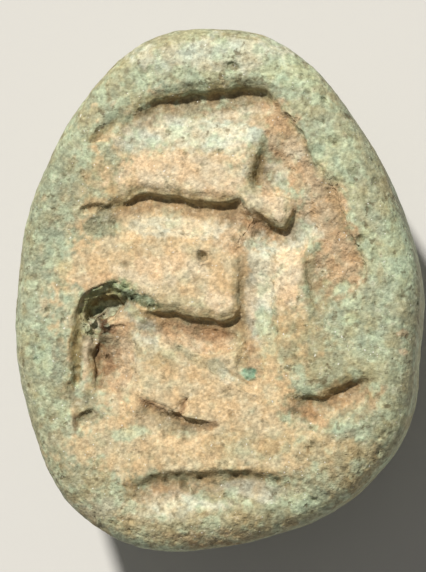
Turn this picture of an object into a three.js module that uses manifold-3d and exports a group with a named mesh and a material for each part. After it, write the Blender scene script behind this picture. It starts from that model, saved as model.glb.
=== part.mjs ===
// A worn faience scaraboid: an oval bead with a flat carved face, a plain domed back
// and a bore from end to end. It lies on its back, with the carved face up.
// Millimetres. +Z is up, out of the face, and +Y points to the narrow end of the oval.

import * as THREE from "three";
import { mergeVertices } from "three/addons/utils/BufferGeometryUtils.js";
import Module from "manifold-3d";

// Overall sizes
const LENGTH = 20;
const WIDTH = 15.6;
const THICKNESS = 8.6;

// The worn rounding between the face and the side
const LIP_WIDTH = 0.95;
const LIP_DROP = 1.1;
const LOW_END_LIP_WIDTH = 1.7;
const LIP_FULLNESS = 2;

// The domed back, and the small flat that it lies on
const BACK_FULLNESS = 2.8;
const REST_FLAT_DEPTH = 0.12;

// The carved design sits a little off the middle of the oval
const DESIGN_SHIFT_X = 0.17;
const DESIGN_SHIFT_Y = -0.13;

// The bore along the length, midway between the face and the back, with its worn mouths
const BORE_DIAMETER = 2;
const MOUTH_DIAMETER = 3;
const MOUTH_DEPTH = 1;
const BORE_SIDES = 20;

// How a place is matched to a cut's path: the distance that is smoothed over, and how
// strongly near steps of the path are favoured
const PATH_BLUR = 0.03;
const PATH_FAVOUR = 4;

// How finely the surface is cut into triangles: rings round the middle of the face, then
// halved edges where the carving strays from them
const FACE_RINGS = 15;
const LIP_RINGS = 4;
const RING_SIDES = 6;
const CHORD_ERROR = 0.022;
const FINEST_EDGE = 0.11;
const REFINING_ROUNDS = 5;

// Shares of the unit sphere's height, from the face's middle to the back's, for each zone
const FACE_SHARE = 0.56;
const LIP_SHARE = 0.12;

const GIRTH_HEIGHT = THICKNESS - LIP_DROP;
const TURN = 2 * Math.PI;
const QUARTER = Math.PI / 2;

// The oval as worn: its radius at even angles from +X, as shares of the half sizes
const OVAL = [
  1.007, 0.966, 0.942, 0.937, 0.975, 1.001, 1.001, 1.024, 1.013, 0.991, 0.985, 0.996,
  1.002, 1.039, 1.064, 1.103, 1.087, 1.039, 0.99, 0.982, 1.011, 1.05, 1.076, 1.024,
];

// Each cut is a steep wall along a path, a floor, and a ramp back up to the face.
// It lies on the right hand of its path. Paths are shares of the half width and length,
// and rise and fade are how far along the path a cut takes to reach its depth and to end.
const CUTS = [
  {
    name: "brow",
    depth: 0.78,
    wall: 0.34,
    floor: 0.2,
    ramp: 1.9,
    rise: 4.5,
    fade: 2.6,
    path: [
      [-0.58, 0.56], [-0.5, 0.642], [-0.38, 0.703], [-0.22, 0.748],
      [0, 0.77], [0.2, 0.768], [0.29, 0.715], [0.36, 0.615],
    ],
  },
  {
    name: "under the upper bar",
    depth: 0.68,
    wall: 0.24,
    floor: 0.35,
    ramp: 1.1,
    rise: 3.4,
    fade: 0.5,
    path: [
      [-0.7, 0.325], [-0.56, 0.328], [-0.47, 0.344], [-0.37, 0.377],
      [-0.26, 0.369], [0, 0.33], [0.12, 0.37],
    ],
  },
  {
    name: "under the knob",
    depth: 0.75,
    wall: 0.22,
    floor: 0.25,
    ramp: 1.2,
    rise: 1.9,
    fade: 2.2,
    path: [
      [0.11, 0.35], [0.19, 0.3], [0.26, 0.257], [0.32, 0.243],
      [0.36, 0.27], [0.37, 0.32], [0.35, 0.42],
    ],
  },
  {
    name: "end of the upper bar",
    depth: 0.5,
    wall: 0.34,
    floor: 0.3,
    ramp: 2.4,
    rise: 0.6,
    fade: 1.2,
    path: [[0.165, 0.36], [0.185, 0.456], [0.2, 0.518], [0.24, 0.62]],
  },
  {
    name: "channel beside the lower bar",
    depth: 0.4,
    wall: 0.3,
    floor: 0.7,
    ramp: 0.7,
    rise: 2.2,
    fade: 2.4,
    path: [[0.13, -0.36], [0.115, -0.23], [0.105, -0.08], [0.105, 0.08], [0.1, 0.22]],
  },
  {
    name: "side of the post",
    depth: 0.3,
    wall: 0.24,
    floor: 0.4,
    ramp: 2,
    rise: 1.1,
    fade: 1,
    path: [[0.52, -0.12], [0.46, -0.03], [0.44, 0.07], [0.46, 0.19]],
  },
  {
    name: "eye at the end of the lower bar",
    depth: 1.05,
    wall: 0.26,
    floor: 0.2,
    ramp: 0.8,
    rise: 1.1,
    fade: 0.9,
    path: [
      [-0.655, -0.14], [-0.65, -0.085], [-0.62, -0.045],
      [-0.56, -0.02], [-0.49, -0.032], [-0.44, -0.085],
    ],
  },
  {
    name: "ledge round the eye",
    depth: 0.34,
    wall: 0.55,
    floor: 0.1,
    ramp: 0.6,
    rise: 1,
    fade: 1.4,
    path: [
      [-0.72, -0.17], [-0.7, -0.1], [-0.66, -0.045], [-0.56, 0.005],
      [-0.49, -0.01], [-0.4, -0.035], [-0.32, -0.06],
    ],
  },
  {
    name: "under the lower bar",
    depth: 0.56,
    wall: 0.22,
    floor: 0.25,
    ramp: 1.2,
    rise: 2.4,
    fade: 0.6,
    path: [[-0.5, -0.03], [-0.41, -0.074], [-0.2, -0.09], [0, -0.116], [0.07, -0.108], [0.12, -0.05]],
  },
  {
    name: "gutter on the left",
    depth: 0.55,
    wall: 0.18,
    floor: 0.3,
    ramp: 1.5,
    rise: 1.8,
    fade: 1.5,
    path: [[-0.62, -0.45], [-0.62, -0.32], [-0.63, -0.24], [-0.605, -0.19], [-0.58, -0.09]],
  },
  {
    name: "inner edge of the left rim",
    depth: 0.26,
    wall: 0.42,
    floor: 0.05,
    ramp: 0.6,
    rise: 1.6,
    fade: 1.2,
    path: [[-0.76, -0.47], [-0.73, -0.33], [-0.7, -0.19], [-0.69, -0.06]],
  },
  {
    name: "nick below the gutter",
    depth: 0.22,
    wall: 0.16,
    floor: 0.08,
    ramp: 0.7,
    rise: 0.5,
    fade: 0.5,
    path: [[-0.73, -0.5], [-0.66, -0.462], [-0.58, -0.43]],
  },
  {
    name: "belly line",
    depth: 0.24,
    wall: 0.26,
    floor: 0.08,
    ramp: 0.8,
    rise: 0.7,
    fade: 1,
    path: [[-0.41, -0.435], [-0.33, -0.46], [-0.18, -0.492], [0.01, -0.52]],
  },
  {
    name: "heel",
    depth: 0.48,
    wall: 0.32,
    floor: 0.1,
    ramp: 1.2,
    rise: 1.2,
    fade: 1.5,
    path: [[0.32, -0.395], [0.42, -0.416], [0.5, -0.408], [0.6, -0.368], [0.72, -0.337], [0.84, -0.335]],
  },
  {
    name: "ground line",
    depth: 0.36,
    wall: 0.42,
    floor: 0.1,
    ramp: 1.5,
    rise: 2,
    fade: 3,
    path: [
      [-0.54, -0.77], [-0.43, -0.739], [-0.28, -0.715], [0, -0.703],
      [0.25, -0.703], [0.4, -0.727], [0.53, -0.735],
    ],
  },
  {
    name: "lost skin along the right rim",
    depth: 0.16,
    wall: 0.2,
    floor: 1.2,
    ramp: 1.2,
    rise: 0.8,
    fade: 0.8,
    path: [[0.24, 0.75], [0.34, 0.665], [0.44, 0.54], [0.54, 0.42], [0.63, 0.25], [0.72, 0.11], [0.73, 0]],
  },
];

// Round hollows, placed in the same shares
const PITS = [
  { name: "drill mark", at: [-0.08, 0.132], depth: 0.32, radius: 0.3 },
  { name: "belly pit", at: [-0.19, -0.44], depth: 0.3, radius: 0.28 },
];

const MATERIAL = new THREE.MeshStandardMaterial({ color: 0xc3b892, roughness: 0.85, metalness: 0 });

const wasm = await Module();
wasm.setup();

// Rises from 0 at 0 to 1 at 1 with level ends.
function ease(share) {
  const s = Math.min(1, Math.max(0, share));
  return s * s * (3 - 2 * s);
}

// The oval's radius share at an angle, by a smooth curve through its values.
function ovalShare(angle) {
  const count = OVAL.length;
  const turned = ((angle / TURN) * count + count) % count;
  const start = Math.floor(turned);
  const f = turned - start;
  const [before, here, next, after] = [-1, 0, 1, 2].map((step) => OVAL[(start + step + count) % count]);
  const slopeHere = (next - before) / 2;
  const slopeNext = (after - here) / 2;
  const rise = next - here;
  const bend = 3 * rise - 2 * slopeHere - slopeNext;
  const twist = slopeHere + slopeNext - 2 * rise;
  return here + f * (slopeHere + f * (bend + f * twist));
}

// The oval's own extent, so that the finished part has its exact length and width.
function ovalExtent() {
  const extent = new THREE.Box2();
  for (let degree = 0; degree < 360; degree += 1) {
    const angle = THREE.MathUtils.degToRad(degree);
    const reach = ovalShare(angle);
    extent.expandByPoint(new THREE.Vector2(reach * Math.cos(angle), reach * Math.sin(angle)));
  }
  return extent;
}

const EXTENT = ovalExtent();
const MIDDLE = EXTENT.getCenter(new THREE.Vector2());
const SPAN = EXTENT.getSize(new THREE.Vector2());

// The place in millimetres, on the oval's plane, of a point given in shares of the half sizes.
function onOval(u, v) {
  return new THREE.Vector2(((u - MIDDLE.x) / SPAN.x) * WIDTH, ((v - MIDDLE.y) / SPAN.y) * LENGTH);
}

// The same for a point of the carved design.
function inDesign(u, v) {
  return onOval(u, v).add(new THREE.Vector2(DESIGN_SHIFT_X, DESIGN_SHIFT_Y));
}

// A cut with its path as a smooth line of short steps, and the line's whole length.
function traced(cut) {
  const stepsPerPoint = 4;
  const curve = new THREE.SplineCurve(cut.path.map(([u, v]) => inDesign(u, v)));
  const line = curve.getPoints(cut.path.length * stepsPerPoint);
  const whole = line.slice(1).reduce((sum, point, i) => sum + point.distanceTo(line[i]), 0);
  return { ...cut, line, whole };
}

const TRACED_CUTS = CUTS.map(traced);

// How deep one cut goes at a place on the face. The side and the distance are those of the
// nearest step of its path. How much of its depth a cut has there is a mean over the steps
// that favours near ones, so that the floor stays smooth on the inside of a bend.
function cutDepth(cut, x, y) {
  let nearest = Infinity;
  let side = 1;
  let passed = 0;
  let weights = 0;
  let weightedShare = 0;
  for (let i = 1; i < cut.line.length; i += 1) {
    const from = cut.line[i - 1];
    const stepX = cut.line[i].x - from.x;
    const stepY = cut.line[i].y - from.y;
    const length = Math.hypot(stepX, stepY);
    const share = Math.min(1, Math.max(0, ((x - from.x) * stepX + (y - from.y) * stepY) / length ** 2));
    const awayX = x - from.x - share * stepX;
    const awayY = y - from.y - share * stepY;
    const distance = Math.hypot(awayX, awayY);
    const weight = (distance ** 2 + PATH_BLUR ** 2) ** -PATH_FAVOUR;
    weights += weight;
    const along = passed + share * length;
    const begun = ease((along - PATH_BLUR) / cut.rise);
    const unended = ease((cut.whole - along - PATH_BLUR) / cut.fade);
    weightedShare += weight * begun * unended;
    if (distance < nearest) {
      nearest = distance;
      side = stepY * awayX - stepX * awayY < 0 ? -1 : 1;
    }
    passed += length;
  }
  const inside = side * nearest;
  const down = ease(inside / cut.wall + 0.5);
  const up = 1 - ease((inside - cut.wall - cut.floor) / cut.ramp);
  return (cut.depth * down * up * weightedShare) / weights;
}

function pitDepth(pit, x, y) {
  const middle = inDesign(...pit.at);
  return pit.depth * (1 - ease(Math.hypot(x - middle.x, y - middle.y) / pit.radius));
}

// The deepest of all cuts and pits at a place on the face.
function carving(x, y) {
  const cuts = TRACED_CUTS.map((cut) => cutDepth(cut, x, y));
  const pits = PITS.map((pit) => pitDepth(pit, x, y));
  return Math.max(...cuts, ...pits);
}

// How far a direction has turned from +Z down to -Z, as a share of the sphere's height.
function downOf(direction) {
  return (1 - direction.z) / 2;
}

// The surface point that a direction from the middle stands for: the face round +Z,
// then the lip, then the back round -Z.
function surfacePoint(direction) {
  const angle = Math.atan2(direction.y, direction.x);
  const rim = onOval(ovalShare(angle) * Math.cos(angle), ovalShare(angle) * Math.sin(angle));
  const low = Math.max(0, -Math.sin(angle));
  const lipWidth = LIP_WIDTH + (LOW_END_LIP_WIDTH - LIP_WIDTH) * low ** 2;
  const faceReach = 1 - lipWidth / rim.length();
  const down = downOf(direction);
  if (down <= FACE_SHARE) {
    const flat = rim.clone().multiplyScalar(faceReach * Math.sqrt(down / FACE_SHARE));
    return new THREE.Vector3(flat.x, flat.y, THICKNESS - carving(flat.x, flat.y));
  }
  if (down <= FACE_SHARE + LIP_SHARE) {
    const turn = ((down - FACE_SHARE) / LIP_SHARE) * QUARTER;
    const out = faceReach + (1 - faceReach) * Math.sin(turn) ** (2 / LIP_FULLNESS);
    const drop = LIP_DROP * (1 - Math.cos(turn) ** (2 / LIP_FULLNESS));
    const edge = rim.clone().multiplyScalar(out);
    return new THREE.Vector3(edge.x, edge.y, THICKNESS - drop - carving(edge.x, edge.y) * Math.cos(turn));
  }
  const turn = ((down - FACE_SHARE - LIP_SHARE) / (1 - FACE_SHARE - LIP_SHARE)) * QUARTER;
  const back = rim.clone().multiplyScalar(Math.cos(turn) ** (2 / BACK_FULLNESS));
  const drop = (GIRTH_HEIGHT + REST_FLAT_DEPTH) * Math.sin(turn) ** (2 / BACK_FULLNESS);
  return new THREE.Vector3(back.x, back.y, GIRTH_HEIGHT - drop);
}

// How far the straight edge between two directions lies from the true surface.
function chordError(from, to, fromPoint, toPoint) {
  const errors = [0.25, 0.5, 0.75].map((share) => {
    const direction = from.clone().lerp(to, share).normalize();
    return surfacePoint(direction).distanceTo(fromPoint.clone().lerp(toPoint, share));
  });
  return Math.max(...errors);
}

// One round of refining: edges of the face that stray from the surface are halved, and so is the
// longest edge of every triangle that has such an edge, which keeps triangles well shaped.
function refineOnce(directions, points, triangles) {
  const keyOf = (a, b) => (a < b ? a + "_" + b : b + "_" + a);
  const edgesOf = ([a, b, c]) => [[a, b], [b, c], [c, a]];
  const lengthOf = ([a, b]) => points[a].distanceTo(points[b]);
  const judged = new Map();
  const halves = new Map();
  const halve = ([a, b]) => {
    if (halves.has(keyOf(a, b))) {
      return false;
    }
    halves.set(keyOf(a, b), directions.length);
    directions.push(directions[a].clone().add(directions[b]).normalize());
    points.push(surfacePoint(directions.at(-1)));
    return true;
  };
  const strays = ([a, b]) => {
    const key = keyOf(a, b);
    if (!judged.has(key)) {
      const onFace = [a, b].every((i) => downOf(directions[i]) <= FACE_SHARE);
      const long = lengthOf([a, b]) > 2 * FINEST_EDGE;
      const judge = () => chordError(directions[a], directions[b], points[a], points[b]) > CHORD_ERROR;
      judged.set(key, onFace && long && judge());
    }
    return judged.get(key);
  };
  triangles.forEach((triangle) => edgesOf(triangle).filter(strays).forEach(halve));
  for (let grew = true; grew; ) {
    grew = false;
    for (const triangle of triangles) {
      const edges = edgesOf(triangle);
      if (edges.some(([a, b]) => halves.has(keyOf(a, b)))) {
        const longest = edges.reduce((best, edge) => (lengthOf(edge) > lengthOf(best) ? edge : best));
        grew = halve(longest) || grew;
      }
    }
  }
  return triangles.flatMap((triangle) => divided(triangle, ([a, b]) => halves.get(keyOf(a, b)), lengthOf));
}

// A triangle divided at those of its edges that have a middle, the longest edge first.
function divided([a, b, c], middleOf, lengthOf) {
  const turned = [[a, b, c], [b, c, a], [c, a, b]];
  const firstEdge = (corners) => lengthOf(corners.slice(0, 2));
  const longer = (best, corners) => (firstEdge(corners) > firstEdge(best) ? corners : best);
  const [p, q, r] = turned.reduce(longer);
  const middle = middleOf([p, q]);
  if (middle === undefined) {
    return [[p, q, r]];
  }
  const onQR = middleOf([q, r]);
  const onRP = middleOf([r, p]);
  const near = onQR === undefined ? [[middle, q, r]] : [[middle, q, onQR], [middle, onQR, r]];
  const far = onRP === undefined ? [[p, middle, r]] : [[p, middle, onRP], [onRP, middle, r]];
  return [...near, ...far];
}

// A closed geometry, with its faces pointing out, as a solid.
function solidOf(geometry) {
  geometry.deleteAttribute("normal");
  geometry.deleteAttribute("uv");
  const merged = mergeVertices(geometry);
  return new wasm.Manifold(
    new wasm.Mesh({
      numProp: 3,
      vertProperties: Float32Array.from(merged.attributes.position.array),
      triVerts: Uint32Array.from(merged.index.array),
    }),
  );
}

function geometryOf(solid) {
  const mesh = solid.getMesh();
  const geometry = new THREE.BufferGeometry();
  geometry.setAttribute("position", new THREE.BufferAttribute(mesh.vertProperties, 3));
  geometry.setIndex(new THREE.BufferAttribute(mesh.triVerts, 1));
  geometry.computeVertexNormals();
  return geometry;
}

// The rings of directions, from the face's middle to the back's: how far down each one
// lies, and how many directions it has.
function ringLevels() {
  const face = Array.from({ length: FACE_RINGS }, (_, k) => ({
    down: FACE_SHARE * ((k + 1) / FACE_RINGS) ** 2,
    count: RING_SIDES * (k + 1),
  }));
  const lip = Array.from({ length: LIP_RINGS }, (_, k) => ({
    down: FACE_SHARE + (LIP_SHARE * (k + 1)) / LIP_RINGS,
    count: RING_SIDES * FACE_RINGS,
  }));
  const back = Array.from({ length: FACE_RINGS - 1 }, (_, k) => ({
    down: 1 - (1 - FACE_SHARE - LIP_SHARE) * (1 - (k + 1) / FACE_RINGS),
    count: RING_SIDES * (FACE_RINGS - k - 1),
  }));
  return [{ down: 0, count: 1 }, ...face, ...lip, ...back, { down: 1, count: 1 }];
}

// Triangles between two rings of corners, the upper ring first, whatever their counts.
function bridge(upper, lower) {
  const triangles = [];
  let i = 0;
  let j = 0;
  while (i < upper.length || j < lower.length) {
    const here = upper[i % upper.length];
    const below = lower[j % lower.length];
    if ((i + 1) / upper.length <= (j + 1) / lower.length) {
      i += 1;
      triangles.push([here, below, upper[i % upper.length]]);
    } else {
      j += 1;
      triangles.push([here, below, lower[j % lower.length]]);
    }
  }
  return triangles.filter(([a, b, c]) => a !== b && b !== c && c !== a);
}

// The whole bead before its bore is drilled and its back rubbed flat.
function beadGeometry() {
  const directions = [];
  const rings = ringLevels().map(({ down, count }) =>
    Array.from({ length: count }, (_, k) => {
      const fromAxis = Math.sqrt(Math.max(0, 1 - (1 - 2 * down) ** 2));
      const angle = (TURN * k) / count;
      const across = new THREE.Vector2(Math.cos(angle), Math.sin(angle)).multiplyScalar(fromAxis);
      return directions.push(new THREE.Vector3(across.x, across.y, 1 - 2 * down)) - 1;
    }),
  );
  const points = directions.map(surfacePoint);
  let triangles = rings.slice(1).flatMap((ring, k) => bridge(rings[k], ring));
  for (let round = 0; round < REFINING_ROUNDS; round += 1) {
    triangles = refineOnce(directions, points, triangles);
  }
  const geometry = new THREE.BufferGeometry().setFromPoints(points);
  geometry.setIndex(triangles.flat());
  return geometry;
}

// How much of the rim's reach the back still has at a height.
function backReach(height) {
  const drop = Math.max(0, GIRTH_HEIGHT - height) / (GIRTH_HEIGHT + REST_FLAT_DEPTH);
  return (1 - drop ** BACK_FULLNESS) ** (1 / BACK_FULLNESS);
}

// The drill that makes the bore: a rod along Y that widens to a mouth where it leaves the bead.
function boreGeometry() {
  const height = THICKNESS / 2;
  const outside = LENGTH;
  const leaves = (backReach(height) * LENGTH) / 2;
  const narrow = leaves - MOUTH_DEPTH;
  const bore = BORE_DIAMETER / 2;
  const mouth = MOUTH_DIAMETER / 2;
  const half = [[bore, narrow], [mouth, leaves], [mouth, outside], [0, outside]];
  const otherHalf = half.map(([radius, along]) => [radius, -along]).reverse();
  const profile = [...otherHalf, ...half].map(([radius, along]) => new THREE.Vector2(radius, along));
  return new THREE.LatheGeometry(profile, BORE_SIDES).translate(0, 0, height);
}

// What is rubbed off the back so that the bead lies still: all that is below the origin.
function restGeometry() {
  return new THREE.BoxGeometry(2 * WIDTH, 2 * LENGTH, THICKNESS).translate(0, 0, -THICKNESS / 2);
}

function scaraboid() {
  const bead = solidOf(beadGeometry());
  const finished = bead.subtract(solidOf(boreGeometry())).subtract(solidOf(restGeometry()));
  const mesh = new THREE.Mesh(geometryOf(finished), MATERIAL);
  mesh.name = "scaraboid";
  return mesh;
}

const part = new THREE.Group();
part.add(scaraboid());
export default part;
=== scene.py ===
import math
from collections import namedtuple

import bmesh
import bpy
import numpy as np
from mathutils import Matrix, Vector, noise


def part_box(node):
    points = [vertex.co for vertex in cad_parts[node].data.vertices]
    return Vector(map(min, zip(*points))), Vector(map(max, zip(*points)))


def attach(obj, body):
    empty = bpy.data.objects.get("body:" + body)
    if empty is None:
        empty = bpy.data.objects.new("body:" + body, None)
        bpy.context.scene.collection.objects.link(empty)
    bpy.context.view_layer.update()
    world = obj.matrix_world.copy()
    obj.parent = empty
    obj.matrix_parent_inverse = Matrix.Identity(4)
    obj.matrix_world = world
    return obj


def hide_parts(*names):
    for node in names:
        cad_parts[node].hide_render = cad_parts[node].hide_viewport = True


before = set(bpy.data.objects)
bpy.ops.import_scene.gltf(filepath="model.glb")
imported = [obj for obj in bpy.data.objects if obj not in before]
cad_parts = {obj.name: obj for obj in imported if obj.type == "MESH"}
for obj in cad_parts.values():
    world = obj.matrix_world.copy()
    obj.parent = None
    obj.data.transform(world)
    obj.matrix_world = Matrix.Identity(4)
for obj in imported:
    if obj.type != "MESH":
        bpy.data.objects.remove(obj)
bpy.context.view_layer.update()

bl_info = {
    "name": "Faience Scaraboid",
    "version": (1, 0, 0),
    "blender": (4, 5, 0),
    "location": "3D View > Sidebar > Scaraboid",
    "description": "Builds a worn faience scaraboid lying face up, and the stage that it is shown on",
    "category": "Add Mesh",
}

# The bead's box before anything is replaced, and the units of the tables below
BEAD_LOW, BEAD_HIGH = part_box("scaraboid")
MM = 0.001
TURN = 2 * math.pi
QUARTER = math.pi / 2

# The photograph's frame: its size, the middle of the bead's outline in it, and its scale there
PHOTO_SIZE = (426, 572)
OUTLINE_MIDDLE_PX = (217, 289.5)
PX_PER_MM = 25.85

# The carved design sits a little off the middle of the oval. Millimetres.
DESIGN_SHIFT = (0.17, -0.13)

# Shares of the unit sphere's height that become the face and the lip; the back has the rest
FACE_SHARE = 0.6
LIP_SHARE = 0.12

# The oval as worn: its radius at even angles from +X, as shares of the half sizes
OVAL = [
    1.007, 0.966, 0.942, 0.937, 0.975, 1.001, 1.001, 1.024, 1.013, 0.991, 0.985, 0.996,
    1.002, 1.039, 1.064, 1.103, 1.087, 1.039, 0.99, 0.982, 1.011, 1.05, 1.076, 1.024,
]

# Each cut is a steep wall along a path, a floor, and a ramp back up to the face, on the right
# hand of its path. Sizes are millimetres and paths are shares of the half width and length.
Cut = namedtuple("Cut", "name depth wall floor ramp rise fade path")
CUTS = [
    Cut("brow", 0.78, 0.34, 0.2, 1.9, 4.5, 2.6, [
        (-0.58, 0.56), (-0.5, 0.642), (-0.38, 0.703), (-0.22, 0.748),
        (0, 0.77), (0.2, 0.768), (0.29, 0.715), (0.36, 0.615)]),
    Cut("under the upper bar", 0.68, 0.24, 0.35, 1.1, 3.4, 0.5, [
        (-0.7, 0.325), (-0.56, 0.328), (-0.47, 0.344), (-0.37, 0.377),
        (-0.26, 0.369), (0, 0.33), (0.12, 0.37)]),
    Cut("under the knob", 0.75, 0.22, 0.25, 1.2, 1.9, 2.2, [
        (0.11, 0.35), (0.19, 0.3), (0.26, 0.257), (0.32, 0.243),
        (0.36, 0.27), (0.37, 0.32), (0.35, 0.42)]),
    Cut("end of the upper bar", 0.5, 0.34, 0.3, 2.4, 0.6, 1.2, [
        (0.165, 0.36), (0.185, 0.456), (0.2, 0.518), (0.24, 0.62)]),
    Cut("channel beside the lower bar", 0.4, 0.3, 0.7, 0.7, 2.2, 2.4, [
        (0.13, -0.36), (0.115, -0.23), (0.105, -0.08), (0.105, 0.08), (0.1, 0.22)]),
    Cut("side of the post", 0.3, 0.24, 0.4, 2, 1.1, 1, [
        (0.52, -0.12), (0.46, -0.03), (0.44, 0.07), (0.46, 0.19)]),
    Cut("eye at the end of the lower bar", 1.05, 0.26, 0.2, 0.8, 1.1, 0.9, [
        (-0.655, -0.14), (-0.65, -0.085), (-0.62, -0.045),
        (-0.56, -0.02), (-0.49, -0.032), (-0.44, -0.085)]),
    Cut("ledge round the eye", 0.34, 0.55, 0.1, 0.6, 1, 1.4, [
        (-0.72, -0.17), (-0.7, -0.1), (-0.66, -0.045), (-0.56, 0.005),
        (-0.49, -0.01), (-0.4, -0.035), (-0.32, -0.06)]),
    Cut("under the lower bar", 0.56, 0.22, 0.25, 1.2, 2.4, 0.6, [
        (-0.5, -0.03), (-0.41, -0.074), (-0.2, -0.09), (0, -0.116), (0.07, -0.108), (0.12, -0.05)]),
    Cut("gutter on the left", 0.55, 0.18, 0.3, 1.5, 1.8, 1.5, [
        (-0.62, -0.45), (-0.62, -0.32), (-0.63, -0.24), (-0.605, -0.19), (-0.58, -0.09)]),
    Cut("inner edge of the left rim", 0.26, 0.42, 0.05, 0.6, 1.6, 1.2, [
        (-0.76, -0.47), (-0.73, -0.33), (-0.7, -0.19), (-0.69, -0.06)]),
    Cut("nick below the gutter", 0.22, 0.16, 0.08, 0.7, 0.5, 0.5, [
        (-0.73, -0.5), (-0.66, -0.462), (-0.58, -0.43)]),
    Cut("belly line", 0.24, 0.26, 0.08, 0.8, 0.7, 1, [
        (-0.41, -0.435), (-0.33, -0.46), (-0.18, -0.492), (0.01, -0.52)]),
    Cut("heel", 0.48, 0.32, 0.1, 1.2, 1.2, 1.5, [
        (0.32, -0.395), (0.42, -0.416), (0.5, -0.408), (0.6, -0.368), (0.72, -0.337), (0.84, -0.335)]),
    Cut("ground line", 0.36, 0.42, 0.1, 1.5, 2, 3, [
        (-0.54, -0.77), (-0.43, -0.739), (-0.28, -0.715), (0, -0.703),
        (0.25, -0.703), (0.4, -0.727), (0.53, -0.735)]),
    Cut("lost skin along the right rim", 0.16, 0.2, 1.2, 1.2, 0.8, 0.8, [
        (0.24, 0.75), (0.34, 0.665), (0.44, 0.54), (0.54, 0.42), (0.63, 0.25), (0.72, 0.11), (0.73, 0)]),
]

# A low step that is too fine for the solid, along the upper right edge of the body
STEPS_IN_RELIEF = [
    Cut("edge of the body", 0.17, 0.26, 0.3, 0.9, 0.9, 0.8, [
        (0.25, -0.41), (0.12, -0.36), (-0.04, -0.29), (-0.16, -0.245), (-0.28, -0.21)]),
]

# Small marks that are too fine for the solid: grooves along a line, placed by pixels of the
# photograph, with their width and depth in millimetres
Groove = namedtuple("Groove", "name width depth path")
GROOVES = [
    Groove("slanting groove across the body", 0.28, 0.1, [
        (165, 344), (185, 352), (210, 365), (238, 378)]),
    Groove("line at the foot of the channel", 0.26, 0.16, [(239, 342), (240, 355), (239, 372)]),
    Groove("line beside the left ridge", 0.34, 0.26, [
        (97, 326), (93, 342), (91, 356), (92, 370), (91, 382)]),
    Groove("turn of the nick", 0.3, 0.16, [(80, 414), (76, 420), (78, 430)]),
    Groove("stroke over the belly line", 0.2, 0.12, [(187, 392), (180, 402), (171, 412)]),
    Groove("left part of the belly line", 0.36, 0.07, [
        (138, 402), (150, 407), (166, 412), (184, 417)]),
    Groove("left end of the line under the upper bar", 0.26, 0.2, [
        (76, 210), (90, 206), (106, 204), (124, 197)]),
    Groove("line along the left ridge", 0.24, 0.2, [
        (78, 322), (73, 336), (70, 352), (71, 372), (76, 386)]),
    Groove("neck below the eye", 0.24, 0.4, [(100, 306), (97, 316), (95, 328), (93, 342)]),
    Groove("left foot of the brow", 0.4, 0.14, [(93, 146), (100, 133), (110, 122), (124, 113)]),
]

# Hollows that are seen one by one, placed by pixels; radius and depth in millimetres
Hollow = namedtuple("Hollow", "at radius depth")
HOLLOWS = [Hollow(*row) for row in [
    ((201, 256), 0.3, 0.36), ((219, 151), 0.16, 0.14), ((231, 412), 0.2, 0.12),
    ((307, 92), 0.17, 0.1), ((325, 102), 0.2, 0.12), ((345, 115), 0.18, 0.12),
    ((300, 78), 0.16, 0.1), ((232, 68), 0.24, 0.1), ((322, 143), 0.16, 0.1),
    ((333, 181), 0.2, 0.12), ((375, 183), 0.22, 0.12), ((360, 240), 0.24, 0.16),
    ((401, 296), 0.18, 0.1), ((403, 322), 0.16, 0.1), ((381, 430), 0.16, 0.1),
    ((400, 412), 0.18, 0.1), ((360, 452), 0.18, 0.1), ((333, 475), 0.16, 0.1),
    ((58, 336), 0.2, 0.1), ((46, 306), 0.18, 0.1), ((118, 163), 0.18, 0.1), ((81, 170), 0.16, 0.1),
    ((270, 508), 0.2, 0.1), ((294, 355), 0.14, 0.1), ((123, 262), 0.2, 0.06),
    ((276, 410), 0.12, 0.08), ((91, 305), 0.36, 0.45), ((88, 312), 0.22, 0.3),
    ((120, 297), 0.3, 0.4), ((108, 309), 0.2, 0.2), ((128, 299), 0.2, 0.14), ((99, 327), 0.2, 0.16),
    ((180, 400), 0.15, 0.1), ((246, 216), 0.24, 0.12), ((240, 226), 0.28, 0.12),
    ((256, 232), 0.2, 0.12), ((226, 222), 0.2, 0.08), ((232, 238), 0.22, 0.1),
    ((250, 244), 0.2, 0.1), ((163, 478), 0.2, 0.14), ((181, 480), 0.2, 0.1),
    ((198, 475), 0.18, 0.16), ((124, 482), 0.18, 0.12), ((232, 472), 0.18, 0.1),
    ((276, 476), 0.2, 0.1), ((150, 306), 0.14, 0.12), ((104, 440), 0.14, 0.06),
    ((250, 425), 0.12, 0.06), ((312, 440), 0.14, 0.08),
]]

# Lumps of crust that stand up, most of them in the eye, placed by pixels; as the hollows
LUMPS = [Hollow(*row) for row in [
    ((82, 318), 0.34, 0.16), ((84, 327), 0.26, 0.12), ((129, 309), 0.24, 0.1),
    ((140, 315), 0.24, 0.1), ((100, 352), 0.24, 0.1), ((190, 486), 0.2, 0.1),
]]

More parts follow.
